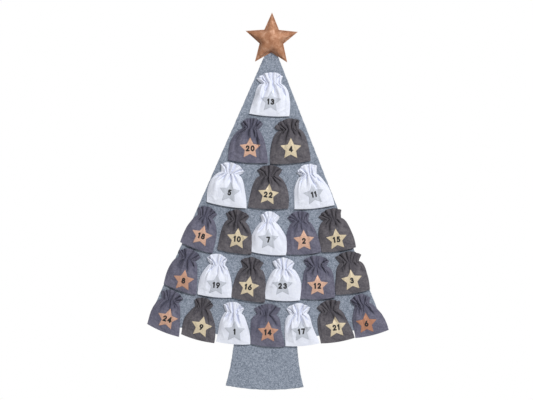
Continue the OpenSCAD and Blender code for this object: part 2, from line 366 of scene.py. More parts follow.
def band(here, there):
    """Four-cornered faces between two closed rings."""
    count = len(here)
    return [(here[k], here[(k + 1) % count], there[(k + 1) % count], there[k]) for k in range(count)]


brass_stuff, nodes, shader = new_material("eyelet brass", ("Roughness", 0.3), ("Metallic", 1.0))
rubs = noise(nodes, own_place(nodes), 900.0, 4.0)
wire(nodes, shader, ("Base Color", tinted(nodes, rubs, BRASS, BRASS_DARK)),
     ("Roughness", ranged(nodes, rubs, 0.0, 1.0, 0.2, 0.45)))

turning = bmesh.new()
lip_mid = LIP_R - LIP_PROUD
profile = [(BORE_R, -FELT_THICK), (BORE_R, -LIP_PROUD), (BORE_R + LIP_PROUD, LIP_PROUD),
           (EYELET_R, LIP_PROUD * 1.5), (lip_mid, LIP_PROUD), (LIP_R, 0.0), (lip_mid, -LIP_PROUD / 4),
           (EYELET_R, -LIP_PROUD / 4), (EYELET_R, -FELT_THICK)]
rings = []
for step in range(EYELET_STEPS):
    a = 2 * math.pi * step / EYELET_STEPS
    rings.append([turning.verts.new((r * math.cos(a), y, r * math.sin(a))) for r, y in profile])
for here, there in zip(rings, rings[1:] + rings[:1]):
    for face in band(here, there):
        turning.faces.new(face)
bmesh.ops.recalc_face_normals(turning, faces=turning.faces)
eyelet = new_piece("hanging_eyelet", taken(turning, "eyelet"), brass_stuff)
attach(eyelet, "tree")
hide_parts("hang_eyelet")

# The top star: two star panels of copper-coated cloth, stitched together a little inside their
# edge and stuffed with fibre, so that the front domes up with a ridge along each arm.
# The flat back panel is sewn to the felt's head.
STAR_R, STAR_NOTCH_R, STAR_EDGE = 0.0725, 0.033, 0.003
STAR_BACK_Y, STAR_SEAM_Y, STAR_DOME = -0.0031, -0.0048, 0.0215
# The sewn rim, from the seam to the back: how far out to the edge it lies, and its depth
STAR_RIM = ((0.35, STAR_SEAM_Y - 0.0008), (0.9, STAR_SEAM_Y - 0.0005),
            (1.0, (STAR_SEAM_Y + STAR_BACK_Y) / 2), (0.9, STAR_BACK_Y))
STAR_STEPS = 26
STAR_FULLNESS = 0.42
STAR_FRAMES, STAR_CREASED, STAR_SMOOTH = 18, 0.5, 0.4
STAR_CLOTH = dict(gravity=0.0, quality=8, mass=0.05, tension_stiffness=20, compression_stiffness=20,
                  shear_stiffness=8, bending_stiffness=0.6, air_damping=3, use_pressure=True,
                  uniform_pressure_force=10.0, shrink_min=-0.03)
COPPER = (0.43, 0.205, 0.112, 1)
COPPER_DARK = (0.30, 0.122, 0.058, 1)
COPPER_PALE = (0.60, 0.35, 0.235, 1)
PATINA, CRUMPLE, LEATHER_GRAIN = (75.0, 6.0, 0.65, 0.5), (160.0, 4.0), 950.0


def star_corners(tip_r, notch_r):
    """Corners of a five-pointed star with one tip up, as points in x and z."""
    radii = [tip_r if k % 2 == 0 else notch_r for k in range(10)]
    return [(-r * math.sin(math.pi * k / 5), r * math.cos(math.pi * k / 5)) for k, r in enumerate(radii)]


copper_stuff, nodes, shader = new_material("copper coated cloth", ("Roughness", 0.5), ("Metallic", 0.15),
                                           ("Specular IOR Level", 0.35))
place = own_place(nodes)
patina = noise(nodes, place, *PATINA)
shade = toned(nodes, patina, (0.3, COPPER_DARK), (0.5, COPPER), (0.72, COPPER_PALE))
grain = add_node(nodes, "ShaderNodeTexVoronoi", ("Vector", place), ("Scale", LEATHER_GRAIN),
                 feature="SMOOTH_F1")
relief = maths(nodes, "ADD", grain.outputs["Distance"], noise(nodes, place, *CRUMPLE))
wire(nodes, shader, ("Base Color", shade), ("Normal", bumped(nodes, 0.35, 0.0005, relief)),
     ("Roughness", ranged(nodes, patina, 0.3, 0.7, 0.66, 0.48)))

panel_points, panel_faces, lookup = [], [], {}
corners = [np.array(c) for c in star_corners(1.0, STAR_NOTCH_R / STAR_R)]


def panel_point(p):
    """Number of a point on the star's panel, shared where two parts of the panel meet."""
    mark = (round(p[0], 6), round(p[1], 6))
    if mark not in lookup:
        lookup[mark] = len(panel_points)
        panel_points.append(p)
    return lookup[mark]


edge_loop = []
for k in range(10):
    a, b = corners[k], corners[(k + 1) % 10]
    grid = {(i, j): panel_point(a * i / STAR_STEPS + b * j / STAR_STEPS)
            for i in range(STAR_STEPS + 1) for j in range(STAR_STEPS + 1 - i)}
    for (i, j), here in grid.items():
        if i + j < STAR_STEPS:
            panel_faces.append((here, grid[i, j + 1], grid[i + 1, j]))
        if i + j < STAR_STEPS - 1:
            panel_faces.append((grid[i + 1, j], grid[i, j + 1], grid[i + 1, j + 1]))
    edge_loop += [grid[STAR_STEPS - j, j] for j in range(STAR_STEPS)]
panel_points = np.array(panel_points)
side = corners[1] - corners[0]
edge_distance = STAR_R * abs(corners[0][0] * side[1] - corners[0][1] * side[0]) / np.linalg.norm(side)
sewn_share = STAR_EDGE / edge_distance
sewn_scale = STAR_R * (1 - sewn_share)


def from_points(name, points, faces, edges=()):
    """A plain mesh from points and faces, or from points and edges."""
    made = bpy.data.meshes.new(name)
    made.from_pydata([tuple(map(float, p)) for p in points], edges, [tuple(map(int, f)) for f in faces])
    made.update()
    return made


def settled(name, points, faces, held, frames, rest=None, **cloth):
    """Lets a cloth mesh settle for some frames, held at some points, and returns its points."""
    soft = new_piece(name, from_points(name, points, faces))
    if rest is not None:
        soft.shape_key_add(name="as made")
        soft.shape_key_add(name="as cut").data.foreach_set("co", np.asarray(rest, np.float32).ravel())
    soft.vertex_groups.new(name="held").add([int(k) for k in held], 1.0, "REPLACE")
    sim = soft.modifiers.new("settle", "CLOTH")
    sim.settings.vertex_group_mass = "held"
    if rest is not None:
        sim.settings.rest_shape_key = soft.data.shape_keys.key_blocks["as cut"]
    sim.settings.effector_weights.gravity = cloth.pop("gravity")
    for setting, value in cloth.items():
        setattr(sim.settings, setting, value)
    sim.collision_settings.use_collision = False
    sim.point_cache.frame_start, sim.point_cache.frame_end = 1, frames
    for f in range(1, frames + 1):
        scene.frame_set(f)
    done = soft.evaluated_get(bpy.context.evaluated_depsgraph_get()).to_mesh()
    result = np.zeros(len(done.vertices) * 3, np.float32)
    done.vertices.foreach_get("co", result)
    mesh = soft.data
    bpy.data.objects.remove(soft)
    bpy.data.meshes.remove(mesh)
    scene.frame_set(1)
    return result.reshape(-1, 3).astype(float)


def panel_at(points, scale, y):
    """Points of the star's panel at a size and a depth."""
    return [(p[0] * scale, y, p[1] * scale) for p in points]


# The filling pushes evenly on the panel, so its height is that of a film held at the seam.
count = len(panel_points)
corner = np.array(panel_faces)
pull, push = np.zeros((count, count)), np.zeros(count)
for k in range(3):
    here, left, right = corner[:, k], corner[:, k - 2], corner[:, k - 1]
    to_left, to_right = panel_points[left] - panel_points[here], panel_points[right] - panel_points[here]
    area = np.abs(to_left[:, 0] * to_right[:, 1] - to_left[:, 1] * to_right[:, 0])
    hold = (to_left * to_right).sum(1) / area / 2
    for i, j, sign in ((left, right, -1), (right, left, -1), (left, left, 1), (right, right, 1)):
        np.add.at(pull, (i, j), sign * hold)
    np.add.at(push, here, area / 6)
free = np.setdiff1d(np.arange(count), edge_loop)
puff = np.zeros(count)
puff[free] = np.linalg.solve(pull[np.ix_(free, free)], push[free])
rise = STAR_DOME * (puff / puff.max()) ** STAR_FULLNESS
start = np.column_stack([panel_points[:, 0] * sewn_scale, -rise, panel_points[:, 1] * sewn_scale])
# The cloth then settles over it, which creases the arms, while the middle stays smooth.
pushed = settled("star panel", start, panel_faces, edge_loop, STAR_FRAMES, **STAR_CLOTH)
from_middle = np.minimum(np.hypot(*panel_points.T) / STAR_SMOOTH, 1)
dome = start + (pushed - start) * (STAR_CREASED * from_middle**2)[:, None]
dome[:, 1] *= STAR_DOME / -dome[:, 1].min()
dome[:, 1] += STAR_SEAM_Y
star_points, star_faces = list(dome), list(panel_faces)
ring = edge_loop
for out, y in STAR_RIM:
    made = list(range(len(star_points), len(star_points) + len(edge_loop)))
    star_points += panel_at(panel_points[edge_loop], STAR_R * (1 - sewn_share * (1 - out)), y)
    star_faces += band(ring, made)
    ring = made
first = len(star_points)
star_points += panel_at(panel_points, sewn_scale, STAR_BACK_Y)
star_faces += [tuple(first + k for k in f[::-1]) for f in panel_faces]
star_faces += band(ring, [first + k for k in edge_loop])
shell = bmesh.new()
shell.from_mesh(from_points("star", star_points, star_faces))
bmesh.ops.recalc_face_normals(shell, faces=shell.faces)
top_star = new_piece("top_star", taken(shell, "star shell"), copper_stuff)
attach(top_star, "tree")
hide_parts("star_front", "star_back", "star_filling")

# The star's seam: a running stitch of brown thread through both panels, just inside the edge.
# One stitch is a short rounded length of thread that dips into the cloth at both ends.
SEAM_PITCH, SEAM_STITCH, SEAM_THREAD_R = 0.0034, 0.0025, 0.0003
SEAM_INSIDE, SEAM_PROUD = 0.72, 0.0009
THREAD_BROWN = (0.12, 0.055, 0.03, 1)


def thread_stuff(name, colour):
    """Twisted sewing thread: fine slanting plies over a plain colour."""
    stuff, nodes, shader = new_material(name, ("Roughness", 0.75))
    plies = add_node(nodes, "ShaderNodeTexWave", ("Vector", own_place(nodes)), ("Scale", 900.0),
                     ("Distortion", 1.0), bands_direction="DIAGONAL")
    dark = tuple(c * 0.55 for c in colour[:3]) + (1,)
    wire(nodes, shader, ("Base Color", tinted(nodes, plies.outputs["Fac"], dark, colour)))
    return stuff


stitching, sizes = node_tree("running stitch",
                             dict(Pitch="Float", Stitch="Float", Radius="Float", Stuff="Material"))
line = add_node(stitching, "GeometryNodeMeshToCurve", (0, sizes["Geometry"]))
steps = add_node(stitching, "GeometryNodeResampleCurve", ("Curve", line),
                 ("Length", sizes["Pitch"]), mode="LENGTH")
ahead = add_node(stitching, "GeometryNodeInputTangent")
aimed = add_node(stitching, "FunctionNodeAlignRotationToVector", ("Vector", ahead), axis="X")
half = maths(stitching, "MULTIPLY", sizes["Stitch"], 0.5)
bead = add_node(stitching, "GeometryNodeMeshUVSphere", ("Segments", 6), ("Rings", 6), ("Radius", 1.0))
form = add_node(stitching, "ShaderNodeCombineXYZ", ("X", half), ("Y", sizes["Radius"]),
                ("Z", sizes["Radius"]))
one = add_node(stitching, "GeometryNodeTransform", ("Geometry", bead), ("Scale", form))
sewn_on = add_node(stitching, "GeometryNodeInstanceOnPoints", ("Points", steps),
                   ("Instance", one), ("Rotation", aimed))
close_tree(stitching, sewn_on, sizes["Stuff"])


def stitch_path(name, points):
    """A closed line of points as a mesh of edges, for a row of stitches to follow."""
    count = len(points)
    return from_points(name, points, [], [(k, (k + 1) % count) for k in range(count)])


seam_thread = thread_stuff("brown seam thread", THREAD_BROWN)
seam_line = panel_at(panel_points[edge_loop], STAR_R * (1 - sewn_share * SEAM_INSIDE),
                     STAR_SEAM_Y - SEAM_PROUD)
seam = new_piece("top_star_seam", stitch_path("star seam", seam_line), seam_thread)
grown(seam, stitching, Pitch=SEAM_PITCH, Stitch=SEAM_STITCH, Radius=SEAM_THREAD_R, Stuff=seam_thread)
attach(seam, "tree")

# The tack threads: the stitch of twisted thread that ties each bag's back rim to the felt.
# It runs through a loop of the bag's cloth in front, and lies against the felt's back behind.
THREAD_R, TACK_W, LOOP_R, BACK_GAP = 0.001, 0.020, 0.00228, 0.0005
BAG_H = 0.113
HINGE_D, HINGE_V = BACK_GAP + LOOP_R, BAG_H - LOOP_R
THREAD_GREY = (0.19, 0.21, 0.25, 1)
THREAD_TWIST, THREAD_STEPS, PLY_HOLLOW = 2400.0, 64, 0.72

# Where each bag hangs: x to the right, y to the wall and z up, from its hem's middle on the felt
layout = {}
for joint in frame["joints"]:
    day = int(joint["child"][-2:])
    right = -Vector(joint["axis"]).normalized()
    up = Vector((-right.z, 0, right.x))
    origin = Vector(joint["pos_m"]) - up * HINGE_V + Vector((0, HINGE_D, 0))
    layout[day] = Matrix.Translation(origin) @ Matrix((right, (0, 1, 0), up)).transposed().to_4x4()

twisting, sizes = node_tree("twisted thread", dict(Radius="Float", Twist="Float", Stuff="Material"))
line = add_node(twisting, "GeometryNodeMeshToCurve", (0, sizes["Geometry"]))
eased = add_node(twisting, "GeometryNodeFilletCurve", ("Curve", line), ("Radius", sizes["Radius"]),
                 ("Count", 4), mode="POLY")
steps = add_node(twisting, "GeometryNodeResampleCurve", ("Curve", eased), ("Count", THREAD_STEPS))
along = add_node(twisting, "GeometryNodeSplineParameter")
angle = maths(twisting, "MULTIPLY", along.outputs["Length"], sizes["Twist"])
tilted = add_node(twisting, "GeometryNodeSetCurveTilt", ("Curve", steps), ("Tilt", angle))
inner = maths(twisting, "MULTIPLY", sizes["Radius"], PLY_HOLLOW)
plies = add_node(twisting, "GeometryNodeCurveStar", ("Points", 3), ("Inner Radius", inner),
                 ("Outer Radius", sizes["Radius"]))
thread = add_node(twisting, "GeometryNodeCurveToMesh", ("Curve", tilted),
                  ("Profile Curve", plies), ("Fill Caps", True))
close_tree(twisting, thread, sizes["Stuff"])

tack_points, tack_edges = [], []
behind = FELT_THICK - THREAD_R / 2
stitch = [(-TACK_W / 2, behind, HINGE_V), (-TACK_W / 2, -HINGE_D, HINGE_V),
          (TACK_W / 2, -HINGE_D, HINGE_V), (TACK_W / 2, behind, HINGE_V)]
for day, local in sorted(layout.items()):
    first = len(tack_points)
    tack_points += [tuple(local @ Vector(p)) for p in stitch]
    tack_edges += [(first + k, first + (k + 1) % 4) for k in range(4)]
grey_thread = thread_stuff("grey tack thread", THREAD_GREY)
tacks = new_piece("bag_tacks", from_points("tacks", tack_points, [], tack_edges), grey_thread)
grown(tacks, twisting, Radius=THREAD_R, Twist=THREAD_TWIST, Stuff=grey_thread)
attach(tacks, "tree")
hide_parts("tack_threads")

# The bags: each a folded rectangle of plain-weave cotton, sewn up its side and hem.
# The mouth is gathered, so pleats run down from the neck and a ruffle fans out above it.
# A small gift fills the belly, and the whole bag hangs from its tack.
BAG_W, NECK_V, NECK_W, RUFFLE_W = 0.104, 0.085, 0.046, 0.064
SHOULDER_POWER, SHOULDER_VARIES, TURN_POWER = 2.5, (0.85, 1.2), 0.54
HEM_FLARE, HEM_PROUD = (0.12, 0.36), 0.0012
NECK_D, MOUTH_D, HEM_D, BELLY_SHARE = 0.0085, 0.0098, 0.0052, 0.8
# How far up or down the bag's depth eases from hem to belly to neck, and how its pillow rounds
BELLY_EASE, HEM_EASE, WALL_EASE, RELIEF_EASE, SIDE_EASE = 0.5, (-0.012, 0.06), 0.03, 0.012, 0.3
PILLOW_SQUARE, PILLOW_ROUND = 2.6, 0.62
CLOTH_T, BACK_CLEAR, FRONT_CLEAR, THINNEST, SIDE_SHARE = 0.0005, 0.0012, 0.0006, 0.25, 0.06
FRONT_COLS, BACK_COLS, BAG_ROWS = 72, 36, 60
# Each kind of pleat: how many, how far down it reaches, its strength, and that in the ruffle
PLEATS = ((11, 0.11, 1.0, 0.3), (6, 0.2, 0.8, 0.6), (3.4, 0.5, 0.3, 0.6))
PLEAT_SHARE, PLEAT_UNEVEN, PLEAT_BEAT = 0.95, 0.9, 1.7
PLEAT_DRIFT, DRIFT_BEAT, PLEAT_JITTER, JITTER_BEAT = 0.05, 1.5, 0.02, 27
FOLDS, FOLD_DEEP, FOLD_LIMIT, LONG_FOLDS, NECK_PINCH = 5, 0.0100, 0.0085, 0.45, 0.6
FOLD_SPAN, FOLD_SHIFT, FOLD_STRAY = 0.6, 0.12, 0.13
FOLD_REACH, LONGER, FOLD_VARIES = (0.22, 0.45), 0.3, (0.55, 1.2)
FOLD_FAN, FAN_STRAY, FOLD_BEND, FLARE_OUT, FLARE_STRAY = 1.25, 0.3, 0.7, 0.3, 0.15
FOLD_W, FOLD_WIDENS, FOLD_OPENS, FOLD_FADES = 0.08, 0.26, 0.02, 0.25
CREST_SHARE, CREST_AT, SLIDE_SHARE = 0.4, 1.7, 0.45
# How much painted shade darkens the cloth in its fold valleys and in the gathers at the neck and ruffle, and how
# far below the neck the gathers' shade reaches
FOLD_SHADE_STRENGTH, GATHER_SHADE_STRENGTH, GATHER_REACH = 0.8, 0.25, 0.15
PATCH_V, PATCH_STIFF, PATCH_STIFF_R = 0.035, 0.75, 0.028
WRINKLES, WRINKLE_DEEP, WRINKLE_VARIES, WRINKLE_TURN = 14, 0.0012, (-0.6, 1), 1.3
WRINKLE_L, WRINKLE_W, WRINKLE_X, WRINKLE_V = (0.010, 0.024), (0.002, 0.0035), 0.4, (0.010, 0.070)
SLIM_SHARE, EDGE_RELIEF, BELLY_SWAY = 0.6, 0.2, 0.003
RUFFLE_FAN, RUFFLE_ARCH, RIM_DIP, RIM_PROUD = math.radians(42), 0.2, 0.3, 0.002
BAG_FRAMES, SHAPE_STEP, NECK_SEAM, HEM_SEAM = 12, 0.2, 0.0016, 0.001
SEAM_THIN, SEAM_WIDE, HEM_TALL = 0.08, 0.16, 0.012
BAG_CLOTH = dict(gravity=0.1, quality=6, mass=0.02, tension_stiffness=12, compression_stiffness=12,
                 shear_stiffness=4, bending_stiffness=0.08, air_damping=2, use_pressure=True,
                 uniform_pressure_force=1.2)
HEM_BOW, BOW_MIDDLE, BOW_TALL, SWING_TALL, FULL_FROM = 0.0034, 0.6, 0.04, 0.07, 0.045
RUFFLE_EASE, RIM_CLEAR = (NECK_V - 0.006, BAG_H - 0.012), 0.001
LOOP_HALF, LOOP_BORE_R, LOOP_SIDES = 0.0085, 0.00115, 16
LOOP_END, LOOP_TOP, LOOP_BEVEL = LOOP_R - 0.0003, LOOP_R - 0.0001, 0.0004
LOOP_RINGS = ((-LOOP_HALF, LOOP_BORE_R), (-LOOP_HALF, LOOP_END), (-LOOP_HALF + LOOP_BEVEL, LOOP_TOP),
              (LOOP_HALF - LOOP_BEVEL, LOOP_TOP), (LOOP_HALF, LOOP_END), (LOOP_HALF, LOOP_BORE_R))
RIM_STITCH_ROW, RIM_THREAD_R = BAG_ROWS - 3, 0.00022
CLOTH_UV, BACK_UV_SHIFT, SHARP_EDGE = 10, 0.37, math.radians(75)
THREAD_COUNT, SLUB_LANES = 190.0, ((6, 160, 1), (160, 6, 1))
COTTONS = {
    "cotton_white": ((0.80, 0.83, 0.96, 1), (0.90, 0.93, 1.0, 1)),
    "cotton_plum": ((0.078, 0.079, 0.122, 1), (0.236, 0.229, 0.297, 1)),
    "cotton_slate": ((0.052, 0.048, 0.062, 1), (0.200, 0.186, 0.199, 1)),
}

weave, sizes = node_tree("plain weave", dict(Cloth="Vector", Threads="Float"),
                         dict(Slub="Float", Height="Float"))
counted = add_node(weave, "ShaderNodeVectorMath", (0, sizes["Cloth"]), ("Scale", sizes["Threads"]),
                   operation="SCALE")
thread_at = add_node(weave, "ShaderNodeSeparateXYZ", (0, counted)).outputs
rounds = []
for axis in (0, 1):
    swing = maths(weave, "SINE", maths(weave, "MULTIPLY", thread_at[axis], math.pi))
    rounds.append(maths(weave, "ABSOLUTE", swing))
over = add_node(weave, "ShaderNodeTexChecker", ("Vector", counted), ("Scale", 1.0)).outputs["Fac"]
under = blended(weave, over, rounds[0], rounds[1])
arched = blended(weave, over, rounds[1], rounds[0])
crossing = maths(weave, "MULTIPLY_ADD", under, arched, under)
lanes = [add_node(weave, "ShaderNodeMapping", ("Vector", sizes["Cloth"]), ("Scale", lane))
         for lane in SLUB_LANES]
slubs = maths(weave, "ADD", *[noise(weave, lane, 1.0, 2.0) for lane in lanes])
add_node(weave, "NodeGroupOutput", (0, ranged(weave, slubs, 0.7, 1.3)), (1, crossing))


def cotton_stuff(name, dark, pale):
    """Plain-weave cotton: thick and thin threads, a fine weave and soft creases, with painted shade in its crease
    hollows, folds and gathers.
    """
    stuff, nodes, shader = new_material(name.replace("_", " "), ("Roughness", 0.92), ("Sheen Weight", 0.04),
                                        ("Sheen Roughness", 0.5), ("Specular IOR Level", 0.2))
    cloth = add_node(nodes, "ShaderNodeUVMap", uv_map="cloth")
    threads = add_node(nodes, "ShaderNodeGroup", ("Cloth", cloth), ("Threads", THREAD_COUNT),
                       node_tree=weave).outputs
    creases = noise(nodes, cloth, 6.0, 4.0, warp=0.7)
    flecks = noise(nodes, cloth, 24.0, 3.0, warp=0.5)
    # A random mottle that is partly painted shade: the cloth is darker in the hollows of the crease noise that
    # also bumps its surface
    mottle_and_crease_shade = ranged(nodes, maths(nodes, "ADD", flecks, creases), 0.72, 1.28)
    tone = blended(nodes, 0.6, threads["Slub"], mottle_and_crease_shade)
    # Painted shade: the tone is darkened where the cloth lies in folds and gathers, as though in their shade
    fold_shade = add_node(nodes, "ShaderNodeAttribute", attribute_name="fold_shade").outputs["Fac"]
    shaded_tone = maths(nodes, "MULTIPLY", tone, ranged(nodes, fold_shade, 0.0, 1.0, 1.0, 1 - FOLD_SHADE_STRENGTH))
    fine = bumped(nodes, 0.35, 0.0002, threads["Height"])
    wire(nodes, shader, ("Base Color", tinted(nodes, shaded_tone, dark, pale)),
         ("Normal", bumped(nodes, 0.45, 0.002, creases, ("Normal", fine))))
    return stuff


cottons = {slot: cotton_stuff(slot, *shades) for slot, shades in COTTONS.items()}
slot_of = {part["node"]: part["material_slot"] for part in frame["record"]["subparts"]}


def eased_step(low, high, x):
    """Goes smoothly from 0 at low to 1 at high."""
    t = np.clip((x - low) / (high - low), 0, 1)
    return t * t * (3 - 2 * t)


# The cloth's points go around the bag, front and then back, in rows from its hem up to its mouth.
across_front = np.linspace(-1, 1, FRONT_COLS + 1)
across_back = np.linspace(1, -1, BACK_COLS + 1)[1:-1]
ACROSS, UP = np.meshgrid(np.concatenate([across_front, across_back]), np.linspace(0, BAG_H, BAG_ROWS + 1))
BELOW = np.clip((NECK_V - UP) / NECK_V, 0, 1)
ABOVE = np.clip((UP - NECK_V) / (BAG_H - NECK_V), 0, 1)
IS_FRONT = np.zeros_like(ACROSS)
IS_FRONT[:, : FRONT_COLS + 1] = 1
IS_FRONT[:, [0, FRONT_COLS]] = 0.5
IN_FRONT, BEHIND = IS_FRONT > 0.75, IS_FRONT < 0.25
MIRRORED = np.concatenate([np.arange(FRONT_COLS, -1, -1), FRONT_COLS + np.arange(BACK_COLS - 1, 0, -1)])
bag_index = np.arange(ACROSS.size).reshape(ACROSS.shape)
for k in range(1, BACK_COLS):
    bag_index[0, FRONT_COLS + k] = bag_index[0, FRONT_COLS - k * FRONT_COLS // BACK_COLS]
bag_faces = [face for row in range(BAG_ROWS) for face in band(bag_index[row], bag_index[row + 1])]


def pleated(rng, seed):
    """Height of the fine pleats, for one unit of width and of cloth to spare."""
    share = ACROSS / 2 + 0.5
    drift = PLEAT_DRIFT * np.sin(2 * np.pi * (DRIFT_BEAT * share + rng.random()))
    share += drift + PLEAT_JITTER * np.sin(JITTER_BEAT * share + seed)
    waves, steepness = np.zeros_like(UP), np.full_like(UP, 1e-6)
    for count, reach, weight, in_ruffle in PLEATS:
        strength = weight * np.where(UP > NECK_V, in_ruffle, np.exp(-((BELOW / reach) ** 2)))
        uneven = 1 + PLEAT_UNEVEN * np.sin(2 * np.pi * (PLEAT_BEAT * share + rng.random()))
        waves += strength * uneven * np.sin(2 * np.pi * (count * share + rng.random())) / count
        steepness += (2 * np.pi * strength) ** 2 / 2
    return PLEAT_SHARE * waves / np.sqrt(steepness)


def folded_in(rng):
    """Depth of the gathered folds, height of the cloth beside them, and how far it slides into them."""
    dips, crests, slide = np.zeros_like(UP), np.zeros_like(UP), np.zeros_like(UP)
    places = rng.uniform(-FOLD_SHIFT, FOLD_SHIFT) + np.linspace(-FOLD_SPAN, FOLD_SPAN, FOLDS)
    for at in places + rng.uniform(-FOLD_STRAY, FOLD_STRAY, FOLDS):
        reach = rng.uniform(*FOLD_REACH)
        deep = rng.uniform(*FOLD_VARIES) * FOLD_DEEP
        if rng.random() < LONG_FOLDS:
            reach += LONGER
        spread = FOLD_FAN * at + rng.uniform(-FAN_STRAY, FAN_STRAY)
        opened = (1 - NECK_PINCH) * at
        line = at - opened + (opened + spread) * BELOW**FOLD_BEND
        line += (opened + FLARE_OUT * at + rng.uniform(-FLARE_STRAY, FLARE_STRAY)) * ABOVE
        half = FOLD_W + FOLD_WIDENS * BELOW + FOLD_OPENS * ABOVE
        fading = 1 - eased_step(FOLD_FADES * reach, reach, BELOW)
        lasts = np.where(UP > NECK_V, 1 - FOLD_FADES * ABOVE, fading)
        u = (ACROSS - line) / half
        beside = np.exp(-((u - CREST_AT) ** 2)) + np.exp(-((u + CREST_AT) ** 2))
        dips += deep * lasts * np.exp(-np.abs(u) ** 1.3)
        crests += deep * lasts * CREST_SHARE * beside
        slide -= deep * lasts * SLIDE_SHARE * u * np.exp(-u * u)
    return FOLD_LIMIT * (1 - np.exp(-dips / FOLD_LIMIT)), crests, slide


def wrinkled(rng, width):
    """Height of the small wrinkles, each a short soft line across the belly."""
    wrinkles = np.zeros_like(UP)
    for _ in range(WRINKLES):
        turn = rng.uniform(-WRINKLE_TURN, WRINKLE_TURN)
        long = rng.uniform(*WRINKLE_L)
        thin = rng.uniform(*WRINKLE_W)
        x = ACROSS * width / 2 - rng.uniform(-WRINKLE_X, WRINKLE_X) * width
        z = UP - rng.uniform(*WRINKLE_V)
        along = x * math.cos(turn) + z * math.sin(turn)
        aside = z * math.cos(turn) - x * math.sin(turn)
        line = np.exp(-((along / long) ** 2) - (aside / thin) ** 2)
        wrinkles += rng.uniform(*WRINKLE_VARIES) * WRINKLE_DEEP * line
    return wrinkles


def gathered_bag(width, belly, seed):
    """Points of a gathered bag and of its cloth lying flat, and how much painted shade its folds and gathers give
    each point.
    """
    rng = np.random.default_rng(seed)
    slim = SLIM_SHARE + (1 - SLIM_SHARE) * width / BAG_W
    neck, mouth = NECK_W * slim, RUFFLE_W * slim
    shoulder = SHOULDER_POWER * rng.uniform(*SHOULDER_VARIES)
    straight = rng.uniform(*HEM_FLARE)
    rounded = (1 - (1 - BELOW) ** shoulder) ** TURN_POWER
    body = neck + (width - neck) * (rounded + straight * (BELOW - rounded))
    wide = np.where(UP <= NECK_V, body, neck + (mouth - neck) * ABOVE)
    spare = np.sqrt(np.maximum(width / wide - 1, 0))
    pleats = pleated(rng, seed) * spare * wide
    dips, crests, slide = folded_in(rng)
    wrinkles = wrinkled(rng, width)
    side = eased_step(0, SIDE_EASE, 1 - np.abs(ACROSS))
    filled = (BELLY_SHARE * belly - NECK_D) * eased_step(0, BELLY_EASE, BELOW)
    depth = NECK_D + np.where(UP > NECK_V, (MOUTH_D - NECK_D) * ABOVE, filled)
    depth = HEM_D + (depth - HEM_D) * eased_step(*HEM_EASE, UP)
    pillow = (1 - np.abs(ACROSS) ** PILLOW_SQUARE) ** PILLOW_ROUND
    from_patch = np.hypot(ACROSS * width / 2, UP - PATCH_V) / PATCH_STIFF_R
    stiff = 1 - PATCH_STIFF * np.exp(-from_patch**4)
    relief = (pleats + crests - dips + wrinkles) * stiff * (EDGE_RELIEF + (1 - EDGE_RELIEF) * side)
    relief *= eased_step(0, RELIEF_EASE, UP)
    wall = BACK_CLEAR + HEM_D / 2 * (1 - eased_step(0, WALL_EASE, UP))
    out = wall + (depth - wall) * pillow + relief
    front = np.maximum(out, wall + FRONT_CLEAR + THINNEST * np.maximum(out - wall, 0))
    back = wall + THINNEST * np.abs(pleats)
    out = np.where(IN_FRONT, front, np.where(BEHIND, back, wall + SIDE_SHARE * (depth - wall)))
    fan = RUFFLE_FAN * ACROSS
    tall = BAG_H - NECK_V + RIM_PROUD * IN_FRONT * (1 - ACROSS**2)
    ruffle = ABOVE * tall * (1 - RUFFLE_ARCH * ACROSS**2) - RIM_DIP * ABOVE * dips
    flare = (mouth - neck) / 2 / ((BAG_H - NECK_V) * (1 - RUFFLE_ARCH) * math.sin(RUFFLE_FAN))
    x = np.where(UP <= NECK_V, wide * ACROSS / 2, neck * ACROSS / 2 + flare * ruffle * np.sin(fan))
    x += slide * side * IN_FRONT + rng.uniform(-1, 1) * BELLY_SWAY * np.sin(math.pi * BELOW)
    z = np.where(UP <= NECK_V, UP, NECK_V + ruffle * np.cos(fan))
    gathered = np.stack([x, -out, z], -1).reshape(-1, 3)
    flat = np.stack([ACROSS * width / 2, CLOTH_T - 2 * CLOTH_T * IS_FRONT, UP], -1).reshape(-1, 3)
    # Painted shade for each point: darkest in the valleys of the folds, and a little in the gathers at the neck
    # and ruffle
    fold_shade = stiff * dips / FOLD_LIMIT + GATHER_SHADE_STRENGTH * np.exp(-((BELOW / GATHER_REACH) ** 2))
    return gathered, flat, np.minimum(fold_shade, 1) * ~BEHIND


# Each shape is made for two bags, one of them turned left to right.
bag_size = {}
for day, local in layout.items():
    back_home = local.inverted()
    solid = np.array([back_home @ v.co for v in frame["nodes"][f"bag_{day:02d}"].data.vertices])
    bag_size[day] = (np.ptp(solid[:, 0]) + 2 * HEM_PROUD, -solid[:, 1].min() - CLOTH_T)
by_width = sorted(layout, key=lambda day: (-round(bag_size[day][0], 3), day * 7 % 25))
shapes, flats, fold_shades, shape_of = [], [], [], {}
for k, (day, twin) in enumerate(zip(by_width[::2], by_width[1::2])):
    gathered, flat, fold_shade = gathered_bag(*bag_size[day], seed=40 + k)
    shapes.append(gathered)
    flats.append(flat)
    fold_shades.append(fold_shade)
    shape_of[day], shape_of[twin] = (k, False), (k, True)
steps = [np.tile((SHAPE_STEP * k, 0, 0), (bag_index.size, 1)) for k in range(len(shapes))]
spread = np.concatenate(steps)
done = np.concatenate(shapes) + spread
faces = [tuple(corner + k * bag_index.size for corner in face)
         for k in range(len(shapes)) for face in bag_faces]
sewn = (np.abs(UP - NECK_V) < NECK_SEAM) | (UP < HEM_SEAM)
held = np.flatnonzero(np.tile(sewn.ravel(), len(shapes)))
cut_flat = np.concatenate(flats) + spread
done = settled("cotton bags", done, faces, held, BAG_FRAMES, rest=cut_flat, **BAG_CLOTH)
settled_shapes = (done - spread).reshape(len(shapes), *ACROSS.shape, 3)

